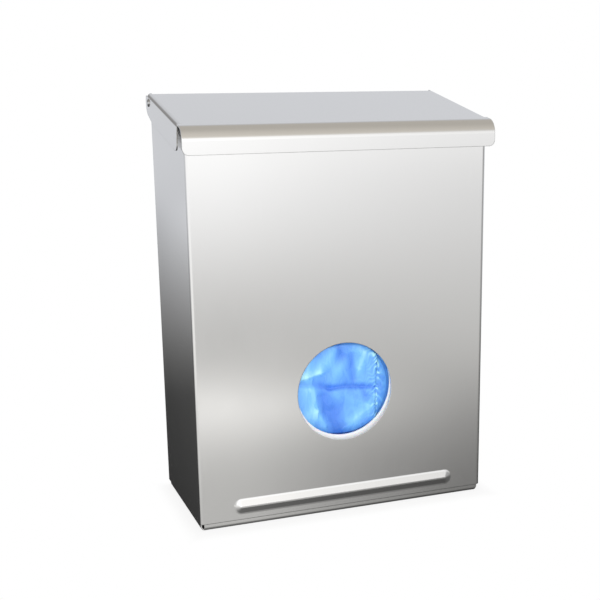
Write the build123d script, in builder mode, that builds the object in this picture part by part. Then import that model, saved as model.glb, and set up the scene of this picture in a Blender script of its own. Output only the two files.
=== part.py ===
from build123d import *
from math import asin, cos, degrees, radians, sin, sqrt, tan
import os

# Washroom box in sheet steel: a tray and a wrapped front shell, closed by a back panel and a sloping
# lid on two pins. A plastic bin inside it holds soft packets, which are taken out through its mouth.
# Millimetres. X is the width, the front looks along -Y, Z is up. The origin is the middle of the
# base, halfway between the wall and the front of the lid.

os.makedirs("parts", exist_ok=True)

# Whole box
body_width = 230.0
body_depth = 109.0
lid_height_at_front = 293.0
lid_slope = 12.0
lid_overhang = 7.6
sheet = 1.0
seam_gap = 0.1
cut_overrun = 20.0

# Front shell
shell_bottom = 5.2
shell_bend_radius = 3.0
shell_return_width = 12.0
front_panel_drop = 6.0
front_return_depth = 12.0
corner_relief = 0.6
side_gap_under_lid = 4.9
opening_diameter = 75.0
opening_height = 95.0
bead_inset = 26.5
bead_width = 11.0
bead_slope = 19.0
bead_fold = 1.2
bead_height = 15.6
edge_break = 0.5

# Hinge: its axis is set back from the wall and below the lid's top face
hinge_setback = 10.5
hinge_drop = 6.4
pin_radius = 2.0
pin_clearance = 0.06
pin_end_float = 0.1
pin_head_radius = 3.0
pin_head_edge = 0.3
pin_head_dome = 0.9
pin_collar_radius = 3.0
pin_collar_length = 1.0
bush_radius = 3.2
side_ear_clearance = 0.6
side_ear_neck = 2.4
hinge_notch_drop = 11.5

# Lid
lid_side_air = 2.0
lid_front_bend_radius = 10.5
lid_front_depth = 19.7
lid_front_corner_radius = 4.5
lid_side_bend_radius = 3.0
lid_side_depth = 19.7
lid_side_setback = 5.5
lid_relief_slit = 0.5
lid_side_corner_radius = 4.5
lid_side_end = 4.0
lid_ear_radius = 10.2
lid_ear_rise_angle = 10.0
lid_ear_blend_radius = 20.0
lid_rear_inset = 3.0
lid_rear_flange = 3.5

# Base tray and back panel
tray_height = 16.0
tray_bend_radius = 3.0
tray_corner_notch = 2.2
panel_top_above_hinge = 3.0
panel_corner_radius = 4.0
wall_hole_radius = 3.0
wall_hole_inset = 40.0
wall_hole_low_z = 60.0
wall_hole_top_drop = 38.0

# Rubber bumpers on the front panel's return
bumper_inset = 25.0
bumper_setback = 7.5
bumper_radius = 4.2
bumper_chamfer = 1.0
bumper_air = 0.3
bumper_stem_radius = 1.9
bumper_stem_clearance = 0.1
bumper_barb_radius = 2.7
bumper_barb_length = 1.6

# Inner bin
bin_wall = 1.6
bin_side_air = 1.5
bin_front_air = 0.7
bin_rear_air = 0.8
bin_top_drop = 15.0
bin_corner_radius = 8.0
bin_foot_chamfer = 4.0
bin_rim_width = 0.7
bin_rim_height = 3.0
mouth_rise = 3.0
mouth_chamfer = 0.5

# Soft packets
packet_column_gap = 9.2
packet_height = 128.0
packet_thickness = 15.0
packet_edge_thickness = 1.6
packet_side_taper = 30.0
packet_end_taper = 36.0
packet_fin = 6.0
packet_fin_thickness = 0.8
packet_floor_air = 0.3
packet_row_air = 1.0
packet_side_air = 0.8
packet_front_air = 1.6
front_packet_aside = 10.0
right_column_stagger = 10.5
upper_rows = 3

# Places that follow from the sizes above
front_y = -(body_depth - lid_overhang) / 2
rear_y = front_y + body_depth
front_panel_height = lid_height_at_front - front_panel_drop
lid_half_width = body_width / 2 + lid_side_air + sheet
slope_cos = cos(radians(lid_slope))
slope_sin = sin(radians(lid_slope))
slope_tan = tan(radians(lid_slope))
hinge_y = rear_y - hinge_setback
hinge_z = lid_height_at_front + (hinge_y - front_y) * slope_tan - hinge_drop / slope_cos
hinge_axis = Axis((0, hinge_y, hinge_z), (1, 0, 0))
above_all = hinge_z + cut_overrun

# Three planes with the hinge axis at their origin: the lid seen from its side, with its first
# direction up the slope and its second square to the top; the lid seen from above; its section.
hinge_point = (0, hinge_y, hinge_z)
lid_side_plane = Plane(hinge_point, x_dir=(0, slope_cos, slope_sin), z_dir=(1, 0, 0))
lid_top_plane = Plane(hinge_point, x_dir=(1, 0, 0), z_dir=(0, -slope_sin, slope_cos))
lid_section_plane = Plane(hinge_point, x_dir=(1, 0, 0), z_dir=(0, -slope_cos, -slope_sin))


def from_lid(along, up):
    """Turn a point of the lid's side plane into the Y and Z of the box."""
    return (
        hinge_y + along * slope_cos - up * slope_sin,
        hinge_z + along * slope_sin + up * slope_cos,
    )


def below(point, drop):
    """The point straight below another one, both in the lid's side plane."""
    return (point.X - drop * slope_sin, point.Y - drop * slope_cos)


# Front shell: front, sides and rear returns wrapped from one sheet
bead_straight = body_width - 2 * bead_inset - bead_width
bead_rise = tan(radians(bead_slope))
bead_plane = Plane((0, 0, bead_height), x_dir=(0, 1, 0), z_dir=(1, 0, 0))


def bead_core(face_y):
    """A long roof with half-round ends, which swells out of the plane at face_y. Its folds are
    narrow strips at half the slope."""
    foot_y = face_y + sheet / 2
    inner_foot = (bead_width - bead_fold) / 2
    crest_y = face_y - inner_foot * bead_rise
    with BuildSketch() as half_section:
        with BuildLine():
            Polyline(
                (foot_y, 0),
                (foot_y, inner_foot + bead_fold),
                (face_y, inner_foot + bead_fold),
                (face_y - bead_fold / 2 * bead_rise, inner_foot),
                (crest_y, bead_fold / 2),
                (crest_y, 0),
                close=True,
            )
        make_face()
    with BuildPart() as core:
        with BuildSketch(bead_plane):
            add(half_section.sketch)
            mirror(about=Plane.XZ)
        extrude(amount=bead_straight / 2, both=True)
        for end in (-1, 1):
            end_x = end * bead_straight / 2
            with BuildSketch(bead_plane.offset(end_x)):
                add(half_section.sketch)
            revolve(axis=Axis((end_x, 0, bead_height), (0, end, 0)), revolution_arc=180)
    return core.part


front_bend_z = front_panel_height - shell_bend_radius
side_start_y = front_y + shell_bend_radius + corner_relief
side_top = hinge_drop - sheet - side_gap_under_lid
side_start_along = (side_start_y - hinge_y + side_top * slope_sin) / slope_cos
side_ear_radius = hinge_drop - sheet - side_ear_clearance
side_ear_front = from_lid(-sqrt(side_ear_radius**2 - side_top**2), side_top)
side_ear_rear = (
    hinge_y + side_ear_neck,
    hinge_z - sqrt(side_ear_radius**2 - side_ear_neck**2),
)
hinge_notch_z = hinge_z - hinge_notch_drop

with BuildPart() as front_shell:
    with BuildSketch(Plane.XY.offset(shell_bottom)):
        with BuildLine():
            FilletPolyline(
                (-body_width / 2 + shell_return_width, rear_y),
                (-body_width / 2, rear_y),
                (-body_width / 2, front_y),
                (body_width / 2, front_y),
                (body_width / 2, rear_y),
                (body_width / 2 - shell_return_width, rear_y),
                radius=shell_bend_radius,
            )
            offset(amount=sheet, side=Side.LEFT)
        make_face()
    extrude(amount=above_all - shell_bottom)
    bottom_edges = front_shell.faces().sort_by(Axis.Z)[0].edges()
    chamfer(bottom_edges.filter_by(Axis.X).sort_by(Axis.Y)[0], length=edge_break)
    # The sides' sloping top, the ear round the hinge pin and the notch that the lid swings through
    with BuildSketch(Plane.YZ):
        with BuildLine():
            Polyline(
                (side_start_y, front_bend_z),
                (front_y - cut_overrun, front_bend_z),
                (front_y - cut_overrun, above_all),
                (rear_y + cut_overrun, above_all),
                (rear_y + cut_overrun, hinge_notch_z),
                (hinge_y + side_ear_neck, hinge_notch_z),
                side_ear_rear,
            )
            ThreePointArc(side_ear_rear, (hinge_y, hinge_z + side_ear_radius), side_ear_front)
            Polyline(
                side_ear_front,
                from_lid(side_start_along, side_top),
                (side_start_y, front_bend_z),
            )
        make_face()
    extrude(amount=body_width, both=True, mode=Mode.SUBTRACT)
    # The front panel's top edge, bent back as a return
    with BuildSketch(Plane.YZ):
        with BuildLine():
            bend = CenterArc((front_y + shell_bend_radius, front_bend_z), shell_bend_radius, 180, -90)
            Line(bend @ 1, (front_y + front_return_depth, front_panel_height))
            offset(amount=sheet, side=Side.RIGHT)
        make_face()
    extrude(amount=body_width / 2 - shell_bend_radius - corner_relief, both=True)
    # The stiffening bead, pressed outwards
    add(bead_core(front_y))
    add(bead_core(front_y + sheet), mode=Mode.SUBTRACT)
    # The round opening, the pin holes and the bumper holes
    with BuildSketch(Plane.XZ.offset(-front_y - cut_overrun)):
        with Locations((0, opening_height)):
            Circle(opening_diameter / 2)
    extrude(amount=2 * cut_overrun, mode=Mode.SUBTRACT)
    with BuildSketch(lid_side_plane):
        Circle(pin_radius + pin_clearance)
    extrude(amount=body_width, both=True, mode=Mode.SUBTRACT)
    with BuildSketch(Plane.XY.offset(front_panel_height)):
        with Locations((0, front_y + bumper_setback)):
            with GridLocations(body_width - 2 * bumper_inset, 0, 2, 1):
                Circle(bumper_stem_radius + bumper_stem_clearance)
    extrude(amount=-2 * sheet, mode=Mode.SUBTRACT)
front_shell.part.label = "front_shell"
export_step(front_shell.part, "parts/front_shell.step")


# Base tray: a floor with four bent-up flanges and open corners
tray_half_width = body_width / 2 - sheet - seam_gap
tray_front_y = front_y + sheet + seam_gap
tray_rear_y = rear_y - 2 * sheet - 2 * seam_gap
tray_middle_y = (tray_rear_y + tray_front_y) / 2

with BuildPart() as base_tray:
    with BuildSketch():
        with Locations((0, tray_middle_y)):
            Rectangle(2 * tray_half_width, tray_rear_y - tray_front_y)
    extrude(amount=tray_height)
    fillet(base_tray.faces().sort_by(Axis.Z)[0].edges(), radius=tray_bend_radius)
    offset(amount=-sheet, openings=base_tray.faces().sort_by(Axis.Z)[-1])
    with BuildSketch():
        with Locations((0, tray_middle_y)):
            with GridLocations(2 * tray_half_width, tray_rear_y - tray_front_y, 2, 2):
                Rectangle(2 * tray_corner_notch, 2 * tray_corner_notch)
    extrude(amount=tray_height + cut_overrun, mode=Mode.SUBTRACT)
base_tray.part.label = "base_tray"
export_step(base_tray.part, "parts/base_tray.step")


# Back panel: between the shell's bends and inside its rear returns, with four holes for wall screws
panel_half_width = body_width / 2 - shell_bend_radius - seam_gap
panel_rear_y = rear_y - sheet - seam_gap
panel_height = hinge_z + panel_top_above_hinge - shell_bottom
wall_hole_spacing_x = body_width - 2 * wall_hole_inset
wall_hole_spacing_z = lid_height_at_front - wall_hole_top_drop - wall_hole_low_z

with BuildPart() as back_panel:
    with BuildSketch(Plane.XZ.offset(-panel_rear_y)):
        with Locations((0, shell_bottom + panel_height / 2)):
            RectangleRounded(2 * panel_half_width, panel_height, panel_corner_radius)
        with Locations((0, wall_hole_low_z + wall_hole_spacing_z / 2)):
            with GridLocations(wall_hole_spacing_x, wall_hole_spacing_z, 2, 2):
                Circle(wall_hole_radius, mode=Mode.SUBTRACT)
    extrude(amount=sheet)
back_panel.part.label = "back_panel"
export_step(back_panel.part, "parts/back_panel.step")


# Lid: one sheet from the rolled front flange, over the top, to the roll round the hinge
front_roll_up = hinge_drop - lid_front_bend_radius
front_roll_y = front_y - lid_overhang + lid_front_bend_radius
front_roll_along = (front_roll_y - hinge_y + front_roll_up * slope_sin) / slope_cos
front_roll_z = from_lid(front_roll_along, front_roll_up)[1]
front_flange_drop = front_roll_z - lid_height_at_front + lid_front_depth
side_front_along = front_roll_along + lid_side_setback
side_bottom = hinge_drop - lid_side_depth
side_bend_up = hinge_drop - lid_side_bend_radius
side_bend_x = lid_half_width - lid_side_bend_radius
ear_tangent = Vector(lid_ear_radius, 0).rotate(Axis.Z, lid_ear_rise_angle - 90)
ear_foot_along = ear_tangent.X - (ear_tangent.Y - side_bottom) / tan(radians(lid_ear_rise_angle))
ear_top = (sqrt(lid_ear_radius**2 - side_bend_up**2), side_bend_up)

# The lid's right side: the bend along its edge and the flange below, cut to the flange's outline
with BuildPart() as lid_side:
    with BuildSketch(lid_section_plane.offset(-lid_ear_radius)):
        with BuildLine():
            edge_bend = CenterArc((side_bend_x, side_bend_up), lid_side_bend_radius, 90, -90)
            Line(edge_bend @ 1, (lid_half_width, side_bottom))
            offset(amount=sheet, side=Side.RIGHT)
        make_face()
    extrude(amount=lid_ear_radius - side_front_along)
    with BuildSketch(lid_side_plane.offset(side_bend_x)):
        with BuildLine():
            front_corner = CenterArc(
                (side_front_along + lid_side_corner_radius, side_bottom + lid_side_corner_radius),
                lid_side_corner_radius,
                180,
                90,
            )
            FilletPolyline(
                front_corner @ 1,
                (ear_foot_along, side_bottom),
                ear_tangent,
                radius=lid_ear_blend_radius,
            )
            ThreePointArc(ear_tangent, (lid_ear_radius, 0), ear_top)
            Polyline(
                ear_top,
                (lid_side_end, side_bend_up),
                (lid_side_end, hinge_drop),
                (side_front_along, hinge_drop),
                front_corner @ 0,
            )
        make_face()
    extrude(amount=lid_side_bend_radius, mode=Mode.INTERSECT)

with BuildPart() as lid:
    with BuildSketch(lid_side_plane):
        with BuildLine():
            rear_roll = CenterArc((0, 0), hinge_drop, -lid_slope, 90 + lid_slope)
            front_roll = CenterArc(
                (front_roll_along, front_roll_up), lid_front_bend_radius, 90, 90 - lid_slope
            )
            Line(below(rear_roll @ 0, lid_rear_flange), rear_roll @ 0)
            Line(rear_roll @ 1, front_roll @ 0)
            Line(front_roll @ 1, below(front_roll @ 1, front_flange_drop))
            offset(amount=sheet, side=Side.LEFT)
        make_face()
    extrude(amount=lid_half_width, both=True)
    fillet(lid.edges().filter_by(Axis.Y).group_by(Axis.Z)[0], radius=lid_front_corner_radius)
    # The sheet is cut back to the side bends, further back beside the rear roll, and a narrow
    # round-ended slit on each side parts the side bend from the flat sheet in front of it.
    with BuildSketch(lid_top_plane):
        with Locations((0, side_front_along)):
            with GridLocations(2 * side_bend_x + cut_overrun, 0, 2, 1):
                Rectangle(cut_overrun, body_depth, align=(Align.CENTER, Align.MIN))
        with Locations((0, lid_side_end)):
            with GridLocations(body_width - 2 * lid_rear_inset + cut_overrun, 0, 2, 1):
                Rectangle(cut_overrun, body_depth, align=(Align.CENTER, Align.MIN))
        with Locations((0, side_front_along - lid_relief_slit / 2)):
            with GridLocations(2 * side_bend_x + cut_overrun + lid_relief_slit, 0, 2, 1):
                SlotCenterToCenter(cut_overrun, lid_relief_slit)
    extrude(amount=cut_overrun, both=True, mode=Mode.SUBTRACT)
    add(lid_side.part)
    mirror(lid_side.part, about=Plane.YZ)
    with BuildSketch(lid_side_plane):
        Circle(pin_radius + pin_clearance)
    extrude(amount=body_width, both=True, mode=Mode.SUBTRACT)
lid.part.label = "lid"
export_step(lid.part, "parts/lid.step")


# Hinge pins: a domed head outside the lid, a shank, and a collar closed up inside the shell's wall
wall_outside_x = body_width / 2
wall_inside_x = wall_outside_x - sheet
pin_head_x = lid_half_width + pin_end_float
dome_radius = (pin_head_radius**2 + pin_head_dome**2) / (2 * pin_head_dome)
hinge_section_plane = Plane(hinge_point, x_dir=(1, 0, 0), z_dir=(0, -1, 0))

with BuildPart() as hinge_pin:
    with BuildSketch(hinge_section_plane):
        with BuildLine():
            dome = CenterArc(
                (pin_head_x + pin_head_edge + pin_head_dome - dome_radius, 0),
                dome_radius,
                0,
                degrees(asin(pin_head_radius / dome_radius)),
            )
            Polyline(
                dome @ 1,
                (pin_head_x, pin_head_radius),
                (pin_head_x, pin_radius),
                (wall_inside_x, pin_radius),
                (wall_inside_x, pin_collar_radius),
                (wall_inside_x - pin_collar_length, pin_collar_radius),
                (wall_inside_x - pin_collar_length, 0),
                dome @ 0,
            )
        make_face()
    revolve(axis=hinge_axis)

# Plastic bushes that keep the lid's flanges off the walls
with BuildPart() as spacer_bush:
    with BuildSketch(lid_side_plane.offset(wall_outside_x + pin_end_float)):
        Circle(bush_radius)
        Circle(pin_radius + pin_clearance, mode=Mode.SUBTRACT)
    extrude(amount=lid_half_width - sheet - wall_outside_x - 2 * pin_end_float)

# Rubber bumpers: a button just under the lid, and a stem with a barb pushed through the return
bumper_x = body_width / 2 - bumper_inset
bumper_y = front_y + bumper_setback
bumper_top_radius = bumper_radius - bumper_chamfer
lid_above_bumper_z = lid_height_at_front + (bumper_setback - bumper_top_radius) * slope_tan
bumper_top_z = lid_above_bumper_z - (sheet + bumper_air) / slope_cos
return_bottom_z = front_panel_height - sheet

with BuildPart() as lid_bumper:
    with BuildSketch(Plane.XZ.offset(-bumper_y)):
        with BuildLine():
            Polyline(
                (bumper_x, bumper_top_z),
                (bumper_x + bumper_top_radius, bumper_top_z),
                (bumper_x + bumper_radius, bumper_top_z - bumper_chamfer),
                (bumper_x + bumper_radius, front_panel_height),
                (bumper_x + bumper_stem_radius, front_panel_height),
                (bumper_x + bumper_stem_radius, return_bottom_z),
                (bumper_x + bumper_barb_radius, return_bottom_z),
                (bumper_x + bumper_stem_radius / 2, return_bottom_z - bumper_barb_length),
                (bumper_x, return_bottom_z - bumper_barb_length),
                close=True,
            )
        make_face()
    revolve(axis=Axis((bumper_x, bumper_y, 0), (0, 0, 1)))

for name, right_piece in (
    ("hinge_pin", hinge_pin.part),
    ("spacer_bush", spacer_bush.part),
    ("lid_bumper", lid_bumper.part),
):
    for side, piece in (("right", right_piece), ("left", mirror(right_piece, about=Plane.YZ))):
        piece.label = f"{name}_{side}"
        export_step(piece, f"parts/{name}_{side}.step")


# Inner bin: a thin-walled plastic box, open at the top, with a round mouth behind the opening
bin_half_width = tray_half_width - sheet - bin_side_air
bin_front_y = tray_front_y + sheet + bin_front_air
bin_rear_y = tray_rear_y - sheet - bin_rear_air
bin_middle_y = (bin_front_y + bin_rear_y) / 2
bin_depth = bin_rear_y - bin_front_y
bin_top = front_panel_height - bin_top_drop
mouth_height = opening_height + mouth_rise

with BuildPart() as inner_bin:
    with BuildSketch(Plane.XY.offset(sheet)):
        with Locations((0, bin_middle_y)):
            RectangleRounded(2 * bin_half_width, bin_depth, bin_corner_radius)
    extrude(amount=bin_top - sheet)
    chamfer(inner_bin.faces().sort_by(Axis.Z)[0].edges(), length=bin_foot_chamfer)
    offset(amount=-bin_wall, openings=inner_bin.faces().sort_by(Axis.Z)[-1])
    with BuildSketch(Plane.XY.offset(bin_top)):
        with Locations((0, bin_middle_y)):
            RectangleRounded(
                2 * bin_half_width + 2 * bin_rim_width,
                bin_depth + 2 * bin_rim_width,
                bin_corner_radius + bin_rim_width,
            )
            RectangleRounded(
                2 * bin_half_width - 2 * bin_wall,
                bin_depth - 2 * bin_wall,
                bin_corner_radius - bin_wall,
                mode=Mode.SUBTRACT,
            )
    extrude(amount=-bin_rim_height)
    with BuildSketch(Plane.XZ.offset(-bin_front_y)):
        with Locations((0, mouth_height)):
            Circle(opening_diameter / 2)
    extrude(amount=-2 * bin_wall, mode=Mode.SUBTRACT)
    mouth_edges = inner_bin.edges().filter_by(GeomType.CIRCLE).group_by(SortBy.RADIUS)[-1]
    chamfer(mouth_edges.sort_by(Axis.Y)[0], length=mouth_chamfer)
inner_bin.part.label = "inner_bin"
export_step(inner_bin.part, "parts/inner_bin.step")


# Soft packets: flat packs that thin out to all four edges, with a crimped fin at the top and bottom
packet_width = bin_half_width - bin_foot_chamfer - packet_side_air - packet_column_gap / 2
swell_bottom = packet_fin
swell_top = packet_height - packet_fin

with BuildPart() as packet:
    with BuildSketch(Plane.YZ):
        with BuildLine():
            Polyline(
                (0, 0),
                (packet_fin_thickness / 2, 0),
                (packet_fin_thickness / 2, swell_bottom),
                (packet_thickness / 2, swell_bottom + packet_end_taper),
                (packet_thickness / 2, swell_top - packet_end_taper),
                (packet_fin_thickness / 2, swell_top),
                (packet_fin_thickness / 2, packet_height),
                (0, packet_height),
                close=True,
            )
        make_face()
        mirror(about=Plane.YZ)
    extrude(amount=packet_width / 2, both=True)
    with BuildSketch():
        with BuildLine():
            Polyline(
                (0, packet_thickness / 2),
                (packet_width / 2 - packet_side_taper, packet_thickness / 2),
                (packet_width / 2, packet_edge_thickness / 2),
                (packet_width / 2, 0),
                (0, 0),
                close=True,
            )
        make_face()
        mirror(about=Plane.XZ)
        mirror(about=Plane.YZ)
    extrude(amount=packet_height, mode=Mode.INTERSECT)

# They stand in two columns of rows, one behind the other. The first one lies across both columns.
column_x = (packet_column_gap + packet_width) / 2
row_pitch = packet_thickness + packet_row_air
lower_z = sheet + bin_wall + packet_floor_air
upper_z = lower_z + packet_height + packet_floor_air
front_packet_y = bin_front_y + bin_wall + packet_front_air + packet_thickness / 2
last_row_y = bin_rear_y - bin_wall - packet_floor_air - packet_thickness / 2


def rows_from(first_y):
    """The rows' places, from the first one back to the bin's rear wall."""
    count = int((last_row_y - first_y) / row_pitch) + 1
    return [first_y + row_pitch * row for row in range(count)]


left_rows_y = rows_from(front_packet_y + row_pitch)
right_rows_y = rows_from(front_packet_y + right_column_stagger)

packet_places = {"front_packet": (-front_packet_aside, front_packet_y, lower_z)}
for column, centre_x, rows_y in (("left", -column_x, left_rows_y), ("right", column_x, right_rows_y)):
    for row, row_y in enumerate(rows_y):
        packet_places[f"{column}_packet_{row + 1}"] = (centre_x, row_y, lower_z)
    for row, row_y in enumerate(rows_y[-upper_rows:]):
        packet_places[f"upper_{column}_packet_{row + 1}"] = (centre_x, row_y, upper_z)

for name, place in packet_places.items():
    placed_packet = packet.part.moved(Location(place))
    placed_packet.label = name
    export_step(placed_packet, f"parts/{name}.step")
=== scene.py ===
from math import cos, exp, hypot, pi, radians, sin

import bmesh
import bpy
from mathutils import Matrix, Vector, noise


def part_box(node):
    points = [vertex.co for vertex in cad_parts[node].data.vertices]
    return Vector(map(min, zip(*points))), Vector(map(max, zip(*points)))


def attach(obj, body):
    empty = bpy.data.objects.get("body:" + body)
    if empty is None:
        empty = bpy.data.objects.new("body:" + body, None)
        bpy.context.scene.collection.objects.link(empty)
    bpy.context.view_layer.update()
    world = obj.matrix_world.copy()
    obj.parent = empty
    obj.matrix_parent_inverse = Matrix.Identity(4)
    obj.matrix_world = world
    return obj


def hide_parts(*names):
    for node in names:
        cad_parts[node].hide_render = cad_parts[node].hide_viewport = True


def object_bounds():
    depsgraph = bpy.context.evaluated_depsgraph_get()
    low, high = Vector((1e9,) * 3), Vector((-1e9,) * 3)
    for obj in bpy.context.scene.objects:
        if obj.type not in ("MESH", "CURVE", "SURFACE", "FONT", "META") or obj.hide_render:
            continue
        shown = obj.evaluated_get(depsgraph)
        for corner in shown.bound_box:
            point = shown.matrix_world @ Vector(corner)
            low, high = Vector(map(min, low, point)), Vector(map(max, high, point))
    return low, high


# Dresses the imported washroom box: satin steel, white and black plastics, rubber, and a stock of
# packets in blue film. Metres, in the part's own frame: the front looks along -Y, Z is up.
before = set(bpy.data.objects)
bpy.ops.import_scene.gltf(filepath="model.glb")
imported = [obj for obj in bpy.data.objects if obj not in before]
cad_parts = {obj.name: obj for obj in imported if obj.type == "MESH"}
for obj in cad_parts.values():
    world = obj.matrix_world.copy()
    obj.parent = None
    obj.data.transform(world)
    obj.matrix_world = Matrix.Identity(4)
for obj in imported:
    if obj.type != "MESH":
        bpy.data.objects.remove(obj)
cad_low, cad_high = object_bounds()
scene = bpy.context.scene
mm = 0.001

# Camera
camera_place = Vector((-0.2828, -0.7843, 0.3147))
camera_turn_right = radians(20.56)
camera_tilt_down = radians(13.47)
camera_roll = radians(-0.68)
camera_lens = 65.23
camera_sensor_width = 36
camera_shift = (-0.0588, 0.0850)

# Film packets: the grids of points, the simulation and the side seals
front_film_step = 1.3 * mm
stock_film_step = 2.6 * mm
film_slack_share = 0.05
film_start_share = 0.6
film_swell_power = 4
film_pressure = 3.0
film_frames = 20
film_cap = 5.0 * mm
film_thickness = 0.3 * mm
seal_width = 11.5 * mm
seal_calm_length = 4.0 * mm
front_lean = 6.2 * mm
wrinkle_seed = 11

# Puckers that run into a side seam. Past it, in the seal, they are wider and out of step.
pucker_pitch = 4.4 * mm
pucker_slope = 0.7
pucker_waver = 1.2
pucker_waver_length = 2 * pucker_pitch
pucker_sharpness = 1.5
pucker_mean = 0.75
pucker_unevenness = 1.3
pucker_patch_length = 1.7 * pucker_pitch
pucker_reach_in = 4.4 * mm
pucker_reach_out = 3.0 * mm
pucker_depth = 1.3 * mm
seal_pucker_pace = 0.6
seal_pucker_start = 0.3

# Unevenness of the whole film: waves per metre across and up, and rises in millimetres. It fades
# towards the side edges and the ends.
broad_waves = (22, 17)
broad_rise = 0.9
fine_waves = (70, 55)
fine_rise = 0.25
uneven_fall = 0.4
side_fade_power = 12
end_fade_power = 6

# Painted light and shade in the film's tone: a share of paler tone for each millimetre that the film stands
# off (darker where it sinks back), and for a full pucker, in place of highlights and shade on the folds
stand_off_light_and_shade = 0.19
pucker_highlight = 0.95

# Folds in the front packet's film, in millimetres: from and to (X, Z), the half widths to the left and
# to the right of that way, and the rise. They wander a little from these straight ways.
fold_waviness = 1.6 * mm
fold_wave_length = 14.0 * mm
fold_fade_power = 1.7
front_folds = (
    ((-42, 104), (-8, 98), (3.0, 2.0), -1.3),
    ((-10, 98), (29, 95), (2.4, 1.5), -2.0),
    ((-42, 106), (-17, 111), (4.0, 2.0), 1.8),
    ((-18, 113), (-5, 129), (4.5, 4.5), 1.7),
    ((-29, 110), (-24, 122), (3.0, 3.0), 1.4),
    ((-22, 99), (-20, 80), (1.8, 7.0), 1.7),
    ((-20, 80), (-13, 67), (2.2, 5.0), 1.4),
    ((-30, 118), (-27, 76), (8.0, 8.0), 0.9),
    ((20, 124), (15, 112), (4.5, 2.6), 1.7),
    ((8, 127), (18, 126), (2.5, 4.0), 1.2),
    ((8, 68), (22, 79), (3.2, 6.0), 1.4),
    ((-8, 104), (4, 120), (5.0, 5.0), 0.8),
    ((-4, 93), (14, 84), (6.0, 4.0), 0.8),
    ((-2, 133), (2, 123), (3.0, 5.0), -1.8),
    ((9, 124), (11, 103), (2.0, 4.5), -1.7),
    ((-6, 79), (-1, 56), (6.5, 6.0), -2.2),
    ((-15, 92), (-13, 80), (4.5, 3.0), -1.2),
    ((18, 97), (22, 84), (2.6, 2.6), -0.9),
)
# Where the film bulges into the mouth it turns back at the rim: centre (X, Z), radius, width and depth,
# in millimetres
rim_centre = (0.4, 96.8)
rim_radius = 37.6
rim_width = 1.6
rim_depth = 3.5


class Shader:
    """A node tree with a short way to add nodes: an input is given a value or another node's output."""

    def __init__(self, tree):
        self.tree = tree
        self.tree.nodes.clear()

    def add(self, kind, inputs=None, **settings):
        node = self.tree.nodes.new(kind)
        for key, value in settings.items():
            setattr(node, key, value)
        for key, value in (inputs or {}).items():
            if isinstance(value, bpy.types.NodeSocket):
                self.tree.links.new(value, node.inputs[key])
            else:
                node.inputs[key].default_value = value
        return node

    def place(self, scale=(1, 1, 1)):
        """A point of the object, stretched by a scale along each axis."""
        coordinates = self.add("ShaderNodeTexCoord").outputs["Object"]
        mapping = self.add("ShaderNodeMapping", {"Vector": coordinates, "Scale": scale})
        return mapping.outputs["Vector"]

    def noise(self, vector, scale, detail=2.0, distortion=0.0):
        node = self.add(
            "ShaderNodeTexNoise",
            {"Vector": vector, "Scale": scale, "Detail": detail, "Distortion": distortion},
        )
        return node.outputs["Fac"]

    def spread(self, value, low, high, to_low, to_high, smooth=False):
        """A value's range from low to high, spread over another range and held at its ends."""
        node = self.add(
            "ShaderNodeMapRange",
            {"Value": value, "From Min": low, "From Max": high, "To Min": to_low, "To Max": to_high},
            interpolation_type="SMOOTHSTEP" if smooth else "LINEAR",
        )
        return node.outputs["Result"]

    def vary(self, noise, low, high, reach=0.2, smooth=False):
        """From low to high with a noise, most of which lies within a reach of one half."""
        return self.spread(noise, 0.5 - reach, 0.5 + reach, low, high, smooth)

    def ramp(self, value, stops):
        """A colour ramp from (place, colour) stops."""
        node = self.add("ShaderNodeValToRGB", {"Fac": value})
        elements = node.color_ramp.elements
        while len(elements) < len(stops):
            elements.new(0.5)
        for element, (position, colour) in zip(elements, stops):
            element.position = position
            element.color = (*colour, 1)
        return node.outputs["Color"]

    def mix(self, factor, first, second, blend="MIX"):
        """Two colours mixed. The node's colour sockets are found by number, as their names repeat."""
        node = self.add("ShaderNodeMix", data_type="RGBA", blend_type=blend)
        for index, value in ((0, factor), (6, first), (7, second)):
            if isinstance(value, bpy.types.NodeSocket):
                self.tree.links.new(value, node.inputs[index])
            else:
                node.inputs[index].default_value = value if index == 0 else (*value, 1)
        return node.outputs[2]

    def math(self, operation, first, second=0.0):
        node = self.add("ShaderNodeMath", {0: first, 1: second}, operation=operation)
        return node.outputs[0]

    def bump(self, height, strength, distance, edge_radius=0.0):
        """A normal for fine relief, over edges that look rounded where a radius is given."""
        inputs = {"Height": height, "Strength": strength, "Distance": distance}
        if edge_radius:
            inputs["Normal"] = self.add("ShaderNodeBevel", {"Radius": edge_radius}, samples=4).outputs[0]
        return self.add("ShaderNodeBump", inputs).outputs["Normal"]


def new_material(name):
    material = bpy.data.materials.new(name)
    material.use_nodes = True
    return material, Shader(material.node_tree)


def finish_material(shader, inputs):
    surface = shader.add("ShaderNodeBsdfPrincipled", inputs).outputs["BSDF"]
    shader.add("ShaderNodeOutputMaterial", {"Surface": surface})


# Steel
steel_tone = (0.80, 0.795, 0.785)
steel_dark_share = 0.985
steel_grain_roughness = 0.012
steel_grain_depth = 0.006 * mm
steel_grain_strength = 0.12
steel_cloud_scale = 14.0
steel_cloud_roughness = (-0.006, 0.008)
sheet_edge_radius = 0.6 * mm


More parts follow.
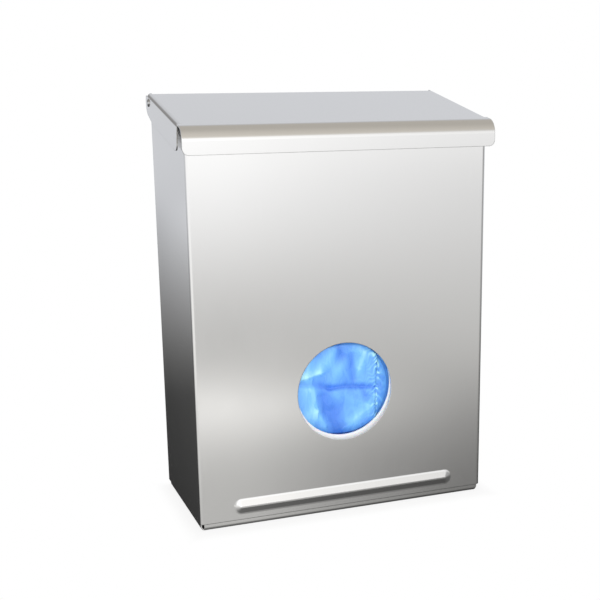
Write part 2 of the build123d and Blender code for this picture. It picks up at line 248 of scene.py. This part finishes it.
def make_steel(name, grain_scale, roughness):
    """Satin stainless sheet: a fine grain along one way, and a faint cloudiness from rolling and wiping."""
    material, shader = new_material(name)
    grain = shader.noise(shader.place(grain_scale), scale=1.0, detail=4.0)
    cloud = shader.noise(shader.place(), steel_cloud_scale, distortion=0.6)
    smudge = shader.vary(cloud, *steel_cloud_roughness, smooth=True)
    smoothest = roughness - steel_grain_roughness
    roughest = roughness + steel_grain_roughness
    dark_tone = tuple(steel_dark_share * channel for channel in steel_tone)
    finish_material(
        shader,
        {
            "Base Color": shader.mix(shader.vary(grain, 0, 1), dark_tone, steel_tone),
            "Metallic": 1.0,
            "Roughness": shader.math("ADD", shader.vary(grain, smoothest, roughest, reach=0.25), smudge),
            "Normal": shader.bump(grain, steel_grain_strength, steel_grain_depth, sheet_edge_radius),
        },
    )
    return material


# Plastics and rubber
plastic_wave_scale = 30.0
plastic_dark_share = 0.95
plastic_skin_roughness = 0.06
plastic_skin_strength = 0.4
plastic_light_depth = 2 * mm


def make_plastic(name, colour, roughness, skin_size, skin_depth, light_share=0.0):
    """Moulded plastic or rubber: a fine skin, a slightly uneven tone, and light let in by pale ones."""
    material, shader = new_material(name)
    skin = shader.noise(shader.place(), 1 / skin_size, detail=3.0)
    waves = shader.noise(shader.place(), plastic_wave_scale)
    smoothest = roughness - plastic_skin_roughness
    roughest = roughness + plastic_skin_roughness
    dark_colour = tuple(plastic_dark_share * channel for channel in colour)
    finish_material(
        shader,
        {
            "Base Color": shader.mix(shader.vary(waves, 0, 1), dark_colour, colour),
            "Roughness": shader.vary(skin, smoothest, roughest, reach=0.3),
            "Subsurface Weight": light_share,
            "Subsurface Scale": plastic_light_depth,
            "Normal": shader.bump(skin, plastic_skin_strength, skin_depth),
        },
    )
    return material


# Film
film_cloud_scale = 34.0
film_cloud_tone = (0.21, 0.37)
film_wisp_scale = 110.0
film_wisp_tone = (-0.10, 0.10)
film_wisp_roughness = (0.24, 0.34)
film_crinkle_scale = 260.0
film_crinkle_strength = 0.5
film_crinkle_depth = 0.25 * mm
film_colours = (
    (0.0, (0.07, 0.24, 0.82)),
    (0.3, (0.12, 0.36, 0.93)),
    (0.6, (0.19, 0.52, 1.0)),
    (1.0, (0.46, 0.88, 1.0)),
)


def make_film(name):
    """Thin blue film with fine crinkles and a soft shine. Its tone has painted light and shade: paler where
    it stands off in a fold or pucker, darker where it sinks back.
    """
    material, shader = new_material(name)
    clouds = shader.noise(shader.place((1.0, 1.0, 0.8)), film_cloud_scale, distortion=1.2)
    wisps = shader.noise(shader.place((1.5, 1.0, 0.7)), film_wisp_scale, detail=3.0, distortion=0.7)
    crinkles = shader.noise(shader.place((1.0, 1.0, 0.6)), film_crinkle_scale, distortion=0.4)
    # Painted light and shade on the folds: paler where the film stands off, darker where it sinks back
    fold_light_and_shade = shader.add("ShaderNodeAttribute", attribute_name="fold_light_and_shade").outputs["Fac"]
    tone = shader.math("ADD", shader.vary(clouds, *film_cloud_tone), fold_light_and_shade)
    tone = shader.math("ADD", tone, shader.vary(wisps, *film_wisp_tone))
    finish_material(
        shader,
        {
            "Base Color": shader.ramp(tone, film_colours),
            "Roughness": shader.vary(wisps, *film_wisp_roughness),
            "Coat Weight": 0.5,
            "Coat Roughness": 0.12,
            "Normal": shader.bump(crinkles, film_crinkle_strength, film_crinkle_depth),
        },
    )
    return material


shell_steel = make_steel("satin_steel_upright", (2600, 2600, 45), 0.125)
lid_steel = make_steel("satin_steel_lid", (2600, 45, 45), 0.15)
pin_steel = make_steel("turned_steel", (900, 3000, 3000), 0.18)
white_plastic = make_plastic(
    "white_plastic", (0.90, 0.90, 0.92), 0.38, 0.6 * mm, 0.02 * mm, light_share=0.15
)
black_plastic = make_plastic("black_plastic", (0.03, 0.03, 0.032), 0.5, 0.4 * mm, 0.03 * mm)
black_rubber = make_plastic("black_rubber", (0.022, 0.022, 0.022), 0.75, 0.3 * mm, 0.04 * mm)
blue_film = make_film("blue_film")

# The nodes that are right as they are get their finishes
finishes = {
    "front_shell": shell_steel,
    "base_tray": shell_steel,
    "back_panel": shell_steel,
    "lid": lid_steel,
    "hinge_pin": pin_steel,
    "spacer_bush": black_plastic,
    "lid_bumper": black_rubber,
    "inner_bin": white_plastic,
}
for node_name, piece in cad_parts.items():
    for start, material in finishes.items():
        if node_name.startswith(start):
            piece.data.materials.clear()
            piece.data.materials.append(material)


# Film packets: each is a pillow of two film layers with a flat crimped seal down both sides. A layer
# is a grid of points, columns across and rows up; the front layer is number 0, the back one 1.
def pillow_layers(width, thickness, height, step):
    """The layers of a pillow before it is blown up."""
    columns = round(width / step)
    rows = round(height / step)
    layers = []
    for side in (-1, 1):
        layer = []
        for column in range(columns + 1):
            across = 2 * column / columns - 1
            points = []
            for row in range(rows + 1):
                along = 2 * row / rows - 1
                swell = (1 - across**film_swell_power) * (1 - along**film_swell_power)
                points.append(
                    Vector((across * width / 2, side * swell * thickness / 2, along * height / 2))
                )
            layer.append(points)
        layers.append(layer)
    return layers


def outline_of(layer):
    """The column and row numbers of the grid's outline, in order round it."""
    last_column = len(layer) - 1
    last_row = len(layer[0]) - 1
    places = [(column, 0) for column in range(last_column)]
    places += [(last_column, row) for row in range(last_row)]
    places += [(column, last_row) for column in range(last_column, 0, -1)]
    places += [(0, row) for row in range(last_row, 0, -1)]
    return places


def layers_mesh(layers, joined):
    """A closed mesh of both layers: joined along their outline, or with a thin strip between them."""
    net = bmesh.new()
    outline = outline_of(layers[0])
    grids = []
    for layer in layers:
        grid = [[net.verts.new(point) for point in points] for points in layer]
        grids.append(grid)
    for side, grid in zip((-1, 1), grids):
        for column in range(len(grid) - 1):
            for row in range(len(grid[0]) - 1):
                corners = [
                    grid[column][row],
                    grid[column + 1][row],
                    grid[column + 1][row + 1],
                    grid[column][row + 1],
                ]
                net.faces.new(corners if side < 0 else corners[::-1])
    if joined:
        pairs = {grids[1][column][row]: grids[0][column][row] for column, row in outline}
        bmesh.ops.weld_verts(net, targetmap=pairs)
    else:
        for (column, row), (next_column, next_row) in zip(outline, outline[1:] + outline[:1]):
            net.faces.new(
                [
                    grids[0][next_column][next_row],
                    grids[0][column][row],
                    grids[1][column][row],
                    grids[1][next_column][next_row],
                ]
            )
    mesh = bpy.data.meshes.new("film")
    net.to_mesh(mesh)
    net.free()
    return mesh


def swell_film(layers):
    """Blow the pillow up with Blender's cloth, which draws its sealed edges into puckers."""
    mesh = layers_mesh(layers, joined=True)
    pillow = bpy.data.objects.new("film_pillow", mesh)
    scene.collection.objects.link(pillow)
    cloth = pillow.modifiers.new("cloth", "CLOTH")
    cloth.settings.quality = 8
    cloth.settings.mass = 0.02
    cloth.settings.tension_stiffness = 25
    cloth.settings.compression_stiffness = 25
    cloth.settings.shear_stiffness = 12
    cloth.settings.bending_stiffness = 0.02
    cloth.settings.use_pressure = True
    cloth.settings.uniform_pressure_force = film_pressure
    cloth.settings.effector_weights.gravity = 0
    cloth.point_cache.frame_end = film_frames
    starts = [vertex.co.copy() for vertex in mesh.vertices]
    for step in range(1, film_frames + 1):
        scene.frame_set(step)
    swollen = pillow.evaluated_get(bpy.context.evaluated_depsgraph_get()).to_mesh()
    moves = [vertex.co - start for vertex, start in zip(swollen.vertices, starts)]
    scene.frame_set(1)
    bpy.data.objects.remove(pillow)
    # The mesh keeps the front layer's points first, then the back layer's points off the outline
    on_outline = set(outline_of(layers[0]))
    number = 0
    front_moves = {}
    for side, layer in enumerate(layers):
        for column, points in enumerate(layer):
            for row, point in enumerate(points):
                if side == 1 and (column, row) in on_outline:
                    move = front_moves[column, row]
                else:
                    move = moves[number]
                    number += 1
                if side == 0:
                    front_moves[column, row] = move
                points[row] = point + move * min(1, film_cap / max(move.length, film_cap))


def with_seals(layers, width, step):
    """Part the two layers by a film's thickness and run them on as flat seals, whose waves calm down."""
    strips = round(width / step)
    sealed = []
    for side, layer in zip((-1, 1), layers):
        apart = Vector((0, side * film_thickness / 2, 0))
        parted = [[point + apart for point in points] for points in layer]
        for outward, edge in ((-1, parted[0]), (1, parted[-1])):
            fin = []
            edge_x = sum(point.x for point in edge) / len(edge)
            for strip in range(1, strips + 1):
                run = strip * width / strips
                calm = exp(-run / seal_calm_length)
                points = []
                for row, point in enumerate(edge):
                    flat = Vector((edge_x + outward * run, apart.y, point.z))
                    wave = Vector((point.x - edge_x, point.y - apart.y, 0))
                    points.append(flat + wave * calm)
                fin.append(points)
            parted = fin[::-1] + parted if outward < 0 else parted + fin
        sealed.append(parted)
    return sealed


def refined(layers):
    """The same layers on a grid twice as fine, with a point halfway between every two."""
    fine_layers = []
    for layer in layers:
        columns = [layer[0]]
        for before, after in zip(layer, layer[1:]):
            columns.append([(first + second) / 2 for first, second in zip(before, after)])
            columns.append(after)
        fine_layer = []
        for points in columns:
            fine_points = [points[0]]
            for before, after in zip(points, points[1:]):
                fine_points.append((before + after) / 2)
                fine_points.append(after)
            fine_layer.append(fine_points)
        fine_layers.append(fine_layer)
    return fine_layers


def ridged(point):
    """Creased noise from -1 to 1, with sharp folds."""
    return 1 - 2 * abs(noise.noise(point))


def fold_rise(x, z, folds):
    """How far a point's film stands off for a list of straight folds that fade to either side."""
    rise = 0.0
    for (from_x, from_z), (to_x, to_z), (left_width, right_width), height in folds:
        run_x, run_z = to_x - from_x, to_z - from_z
        along = ((x - from_x) * run_x + (z - from_z) * run_z) / (run_x**2 + run_z**2)
        along = min(max(along, 0), 1)
        away = hypot(x - from_x - along * run_x, z - from_z - along * run_z)
        on_left = run_x * (z - from_z) - run_z * (x - from_x) > 0
        half_width = left_width if on_left else right_width
        rise += height * exp(-((away / half_width) ** fold_fade_power))
    return rise


def rim_fall(x, z):
    """How far the film has turned back beside the mouth's rim, below zero."""
    past = (hypot(x - rim_centre[0], z - rim_centre[1]) - rim_radius) / rim_width
    past = min(max(past, 0), 1)
    return -rim_depth * past * past * (3 - 2 * past)


def pucker_ridge(off_seam, z, seed):
    """Uneven slanting ridges that run into a side seam, from 0 up. They slant the other way past it."""
    reach = pucker_reach_out if off_seam > 0 else pucker_reach_in
    waver = noise.noise(Vector((z / pucker_waver_length, seed, off_seam / reach)))
    turn = (z + pucker_slope * abs(off_seam)) / pucker_pitch + pucker_waver * waver
    if off_seam > 0:
        turn = seal_pucker_pace * turn + seal_pucker_start
    ridge = (0.5 + 0.5 * cos(2 * pi * turn)) ** pucker_sharpness
    patch = noise.noise(Vector((z / pucker_patch_length, seed + 3, off_seam / reach)))
    strength = max(0, pucker_mean + pucker_unevenness * patch)
    return ridge * strength * exp(-abs(off_seam) / reach)


def crumple(layers, centre, seam_x, seed, folds):
    """Press puckers, folds and unevenness into the film. Returns each point's share of painted light and
    shade: paler where it stands off or puckers, darker where it sinks back.
    """
    half_width = max(point.x for points in layers[0] for point in points)
    half_height = max(point.z for points in layers[0] for point in points)
    fold_light_and_shade_shares = []
    for side, layer in zip((-1, 1), layers):
        for points in layer:
            for point in points:
                x, z = point.x, point.z
                side_fade = 1 - min(1, abs(x) / half_width) ** side_fade_power
                end_fade = 1 - (z / half_height) ** end_fade_power
                pucker = pucker_ridge(abs(x) - seam_x, z, seed + side)
                broad = ridged(Vector((x * broad_waves[0], seed + side, z * broad_waves[1])))
                fine = noise.noise(Vector((x * fine_waves[0], seed + 5 * side, z * fine_waves[1])))
                rise = (broad_rise * broad + fine_rise * fine - uneven_fall) * mm
                if side < 0 and folds:
                    wave = noise.noise_vector(Vector((x, seed, z)) / fold_wave_length)
                    place_x = (x + centre.x + fold_waviness * wave.x) / mm
                    place_z = (z + centre.z + fold_waviness * wave.z) / mm
                    rise += fold_rise(place_x, place_z, folds) * mm
                    rise += rim_fall((x + centre.x) / mm, (z + centre.z) / mm) * mm
                # Painted highlight on raised folds and puckers, painted shade in creases and where the film
                # turns back at the rim
                fold_light_and_shade_shares.append(stand_off_light_and_shade * rise / mm + pucker_highlight * pucker)
                point.y += side * side_fade * end_fade * (rise + pucker_depth * pucker)
    return fold_light_and_shade_shares


def fit_into(mesh, low, high):
    """Scale and move a mesh so that it fills a box."""
    for axis in range(3):
        lowest = min(vertex.co[axis] for vertex in mesh.vertices)
        highest = max(vertex.co[axis] for vertex in mesh.vertices)
        scale = (high[axis] - low[axis]) / (highest - lowest)
        for vertex in mesh.vertices:
            vertex.co[axis] = low[axis] + (vertex.co[axis] - lowest) * scale


def lean_forward(layers, seam_x, distance):
    """Shift a packet's thin edges forward, as it rests against the wall in front of it."""
    half_height = max(point.z for points in layers[0] for point in points)
    for layer in layers:
        for points in layer:
            for point in points:
                across = min(1, abs(point.x) / seam_x)
                along = min(1, abs(point.z) / half_height)
                swell = (1 - across**film_swell_power) * (1 - along**film_swell_power)
                point.y -= distance * (1 - swell)


def film_packet(node_name, pillow, step, seed, folds=(), lean=0.0):
    """One packet in the box of its CAD solid, from a copy of a pillow's layers."""
    low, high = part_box(node_name)
    layers = [[[point.copy() for point in points] for points in layer] for layer in pillow]
    seam = layers[0][-1]
    seam_x = sum(point.x for point in seam) / len(seam)
    layers = with_seals(layers, seal_width, step)
    if folds:
        layers = refined(layers)
    lean_forward(layers, seam_x, lean)
    fold_light_and_shade_shares = crumple(layers, (low + high) / 2, seam_x, seed, folds)
    mesh = layers_mesh(layers, joined=False)
    fit_into(mesh, low, high)
    for face in mesh.polygons:
        face.use_smooth = True
    mesh.materials.append(blue_film)
    # The painted light and shade of the folds, kept on the points for the film's tone
    fold_light_and_shade = mesh.attributes.new("fold_light_and_shade", "FLOAT", "POINT")
    fold_light_and_shade.data.foreach_set("value", fold_light_and_shade_shares)
    packet = bpy.data.objects.new(f"film_{node_name}", mesh)
    scene.collection.objects.link(packet)
    subdivision = packet.modifiers.new("smooth", "SUBSURF")
    subdivision.levels = subdivision.render_levels = 1
    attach(packet, "box")
    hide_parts(node_name)


def make_pillow(node_name, step):
    """The layers of a packet's pillow, flatter than its CAD solid until the film is blown up."""
    low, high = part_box(node_name)
    size = high - low
    layers = pillow_layers(
        (size.x - 2 * seal_width) * (1 + film_slack_share),
        size.y * film_start_share,
        size.z * (1 + film_slack_share),
        step,
    )
    swell_film(layers)
    return layers


front_pillow = make_pillow("front_packet", front_film_step)
film_packet("front_packet", front_pillow, front_film_step, wrinkle_seed, front_folds, front_lean)
stock_names = sorted(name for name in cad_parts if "packet" in name and name != "front_packet")
stock_pillow = make_pillow(stock_names[0], stock_film_step)
for index, node_name in enumerate(stock_names):
    film_packet(node_name, stock_pillow, stock_film_step, wrinkle_seed + 1 + index)


# Floor: pure white to the camera but for the contact shadow close to the box
pure_white = (1, 1, 1, 1)
floor_tone = (0.95, 0.95, 0.95, 1)
floor_size = 6.0
shadow_reach = 14 * mm
shadow_share = 0.2
foot_half_x = 0.115
foot_half_y = 0.055
floor_mesh = bpy.data.meshes.new("floor")
floor_net = bmesh.new()
bmesh.ops.create_grid(floor_net, x_segments=1, y_segments=1, size=floor_size / 2)
floor_net.to_mesh(floor_mesh)
floor_net.free()
floor = bpy.data.objects.new("floor", floor_mesh)
scene.collection.objects.link(floor)
floor_material, shader = new_material("pale_floor")
spot = shader.add("ShaderNodeSeparateXYZ", {"Vector": shader.place()}).outputs
beside = shader.math("SUBTRACT", shader.math("ABSOLUTE", spot["X"]), foot_half_x)
before = shader.math("SUBTRACT", shader.math("ABSOLUTE", spot["Y"]), foot_half_y)
off_foot = shader.math("MAXIMUM", beside, before)
shade = shader.spread(off_foot, 0, shadow_reach, 1 - shadow_share, 1, smooth=True)
light_path = shader.add("ShaderNodeLightPath")
lit = shader.add("ShaderNodeBsdfDiffuse", {"Color": floor_tone}).outputs["BSDF"]
white = shader.add("ShaderNodeEmission", {"Color": pure_white, "Strength": 1.0}).outputs["Emission"]
share = shader.math("MULTIPLY", light_path.outputs["Is Camera Ray"], shade)
surface = shader.add("ShaderNodeMixShader", {0: share, 1: lit, 2: white}).outputs["Shader"]
shader.add("ShaderNodeOutputMaterial", {"Surface": surface})
floor_mesh.materials.append(floor_material)
floor.visible_glossy = False


# World: white to the camera, even light on the object, and for reflections a studio whose brightness
# goes by direction: bright at the horizon in front, darker towards the floor and behind the box.
# Each stop is an elevation in degrees and a brightness.
even_brightness = 0.75
studio_peak = 1.6
front_left_stops = (
    (-90, 0.35), (-70, 0.22), (-57, 0.14), (-45, 0.26), (-32, 0.50), (-24, 0.58), (-20, 0.56),
    (-18.6, 0.61), (-17.4, 0.86), (-16.3, 1.57), (-15.3, 0.85), (-14.4, 0.59), (-12.5, 0.59),
    (-9.7, 0.78), (-8.4, 0.91), (-7, 1.04), (-5.7, 1.12), (-3.3, 1.27), (0, 1.38), (12, 1.38),
    (16, 1.25), (19, 0.92), (24, 0.75), (32, 0.69), (45, 0.66), (60, 0.60), (90, 0.50),
)
front_right_stops = (
    (-90, 0.25), (-70, 0.12), (-57, 0.05), (-40, 0.14), (-24, 0.17), (-20, 0.155), (-18, 0.235),
    (-16.4, 0.33), (-15, 0.48), (-13.8, 0.59), (-12.5, 0.64), (-9.8, 0.71), (-7.2, 0.81),
    (-3.8, 0.91), (-2, 1.10), (4, 1.10), (11, 1.06), (15.5, 0.82), (20.5, 0.67), (29, 0.62),
    (45, 0.56), (60, 0.50), (90, 0.44),
)
behind_stops = (
    (-90, 0.05), (-24, 0.04), (-15.5, 0.06), (-14, 0.11), (-12.6, 0.18), (-11.3, 0.26), (-9.9, 0.35),
    (-8.6, 0.45), (-7.2, 0.56), (-5.9, 0.65), (-3.4, 0.70), (4, 0.73), (26, 0.73), (34, 0.63),
    (46, 0.51), (60, 0.50), (90, 0.50),
)
neutral = (1.0, 1.0, 1.0)
cool = (0.98, 1.0, 1.05)
warm = (1.06, 1.0, 0.91)
barely_warm = (1.005, 1.0, 0.985)
barely_cool = (0.997, 1.0, 1.01)
front_tint_stops = ((-14, barely_warm), (-6, barely_cool), (14, neutral), (26, warm), (90, warm))
behind_tint_stops = ((-14, neutral), (-6, cool), (34, cool), (50, warm), (90, warm))
window_stops = (
    (-90, 0.30), (-24, 0.55), (-20, 0.67), (-16, 0.93), (-10.8, 1.03), (-5.5, 1.15), (0, 1.25),
    (20, 1.10), (45, 0.66), (90, 0.50),
)
wall_stops = ((-90, 0.08), (-20, 0.14), (-16, 0.24), (-10.8, 0.36), (-5.5, 0.42), (45, 0.42), (90, 0.42))

# Where one part of the studio passes into the next: from and to, along a direction's X, Y or Z
right_span = (0.262, 0.46)
right_bend = 0.7
back_span = (-0.35, 0.25)
window_span = (-0.20, -0.50)
wall_span = (0.52, 0.75)
below_span = (-0.08, -0.12)
left_span = (-0.08, -0.30)
above_span = (0.01, 0.10)

# Behind the box on its left: shares of the light by X below the horizon, and a dark room above it
left_shares = ((-0.50, 1.0), (-0.245, 1.55), (-0.17, 0.45), (-0.05, 1.0))
dark_room_tone = (0.03, 0.026, 0.020)
dark_room_share = 0.7

world = bpy.data.worlds.new("studio")
world.use_nodes = True
scene.world = world
world.cycles.sampling_method = "NONE"
shader = Shader(world.node_tree)
direction = shader.add("ShaderNodeTexCoord").outputs["Generated"]
parts = shader.add("ShaderNodeSeparateXYZ", {"Vector": direction}).outputs
height = shader.spread(parts["Z"], -1, 1, 0, 1)
sideways = shader.spread(parts["X"], -1, 1, 0, 1)


def on_ramp(part):
    """The place on a ramp of a direction's X or Z."""
    return 0.5 + 0.5 * part


def brightness_ramp(stops):
    """Brightness by elevation. It is a share of the peak, as a ramp's colours stop at one."""
    shades = [(on_ramp(sin(radians(degrees))), (value / studio_peak,) * 3) for degrees, value in stops]
    return shader.ramp(height, shades)


def tint_ramp(stops):
    """Tints by elevation. They are halved, as a ramp's colours stop at one."""
    tints = [(on_ramp(sin(radians(degrees))), [part / 2 for part in tint]) for degrees, tint in stops]
    return shader.ramp(height, tints)


def passage(axis, span, smooth=True):
    """From 0 to 1 as a direction passes along a span."""
    return shader.spread(parts[axis], *span, 0, 1, smooth)


to_the_right = shader.math("POWER", passage("X", right_span, smooth=False), right_bend)
to_the_back = passage("Y", back_span)
front_light = shader.mix(
    to_the_right, brightness_ramp(front_left_stops), brightness_ramp(front_right_stops)
)
# A window far to the left and a darker wall far to the right
front_light = shader.mix(passage("X", window_span), front_light, brightness_ramp(window_stops))
front_light = shader.mix(passage("X", wall_span), front_light, brightness_ramp(wall_stops))
studio_light = shader.mix(to_the_back, front_light, brightness_ramp(behind_stops))
studio_tint = shader.mix(to_the_back, tint_ramp(front_tint_stops), tint_ramp(behind_tint_stops))
studio_light = shader.mix(1.0, studio_light, studio_tint, blend="MULTIPLY")
# Behind the box on its left, below the horizon, a paler stretch stands beside a darker one
half_shares = shader.ramp(sideways, [(on_ramp(x), (share / 2,) * 3) for x, share in left_shares])
shares = shader.math("MULTIPLY", half_shares, 2.0)
low_behind = shader.math("MULTIPLY", to_the_back, passage("Z", below_span))
shared_light = shader.mix(1.0, studio_light, shares, blend="MULTIPLY")
studio_light = shader.mix(low_behind, studio_light, shared_light)
# Above the horizon there, a dark room
high_left = shader.math("MULTIPLY", passage("X", left_span), passage("Z", above_span))
dark_room = shader.math("MULTIPLY", high_left, to_the_back)
studio_light = shader.mix(
    shader.math("MULTIPLY", dark_room, dark_room_share), studio_light, dark_room_tone
)
# The tints were halved, so the strength is doubled
studio_strength = 2 * studio_peak
light_path = shader.add("ShaderNodeLightPath")
white = shader.add("ShaderNodeBackground", {"Color": pure_white, "Strength": 1.0}).outputs[0]
even = shader.add("ShaderNodeBackground", {"Color": pure_white, "Strength": even_brightness}).outputs[0]
studio = shader.add("ShaderNodeBackground", {"Color": studio_light, "Strength": studio_strength}).outputs[0]
not_camera = shader.add(
    "ShaderNodeMixShader", {0: light_path.outputs["Is Glossy Ray"], 1: even, 2: studio}
).outputs["Shader"]
seen = shader.add(
    "ShaderNodeMixShader", {0: light_path.outputs["Is Camera Ray"], 1: not_camera, 2: white}
).outputs["Shader"]
shader.add("ShaderNodeOutputWorld", {"Surface": seen})


# Lamps: a soft box in front, up and to the left, and one over the box that reaches the packets when
# the lid is open. The studio above stands in for their mirror images.
key_lamp_place = Vector((-0.35, -1.20, 0.50))
key_lamp_size = 0.4
key_lamp_watts = 6.8
top_lamp_place = Vector((0.0, 0.05, 1.20))
top_lamp_size = 0.1
top_lamp_watts = 3.0


def soft_box(name, place, target, size, watts):
    data = bpy.data.lights.new(name, "AREA")
    data.shape = "DISK"
    data.size = size
    data.energy = watts
    lamp = bpy.data.objects.new(name, data)
    scene.collection.objects.link(lamp)
    lamp.location = place
    lamp.rotation_mode = "QUATERNION"
    lamp.rotation_quaternion = (target - place).to_track_quat("-Z", "Y")
    lamp.visible_glossy = False


middle = (cad_low + cad_high) / 2
soft_box("key_lamp", key_lamp_place, middle, key_lamp_size, key_lamp_watts)
soft_box("top_lamp", top_lamp_place, middle, top_lamp_size, top_lamp_watts)

# Camera at the photograph's place, with its lens and framing
forward = Vector(
    (
        sin(camera_turn_right) * cos(camera_tilt_down),
        cos(camera_turn_right) * cos(camera_tilt_down),
        -sin(camera_tilt_down),
    )
)
level_right = Vector((cos(camera_turn_right), -sin(camera_turn_right), 0))
level_up = level_right.cross(forward)
right = cos(camera_roll) * level_right + sin(camera_roll) * level_up
up = cos(camera_roll) * level_up - sin(camera_roll) * level_right
camera_data = bpy.data.cameras.new("camera")
camera_data.sensor_width = camera_sensor_width
camera_data.lens = camera_lens
camera_data.shift_x, camera_data.shift_y = camera_shift
camera = bpy.data.objects.new("camera", camera_data)
scene.collection.objects.link(camera)
camera.matrix_world = Matrix((right, up, -forward)).transposed().to_4x4()
camera.location = camera_place
scene.camera = camera
scene.view_settings.view_transform = "Standard"
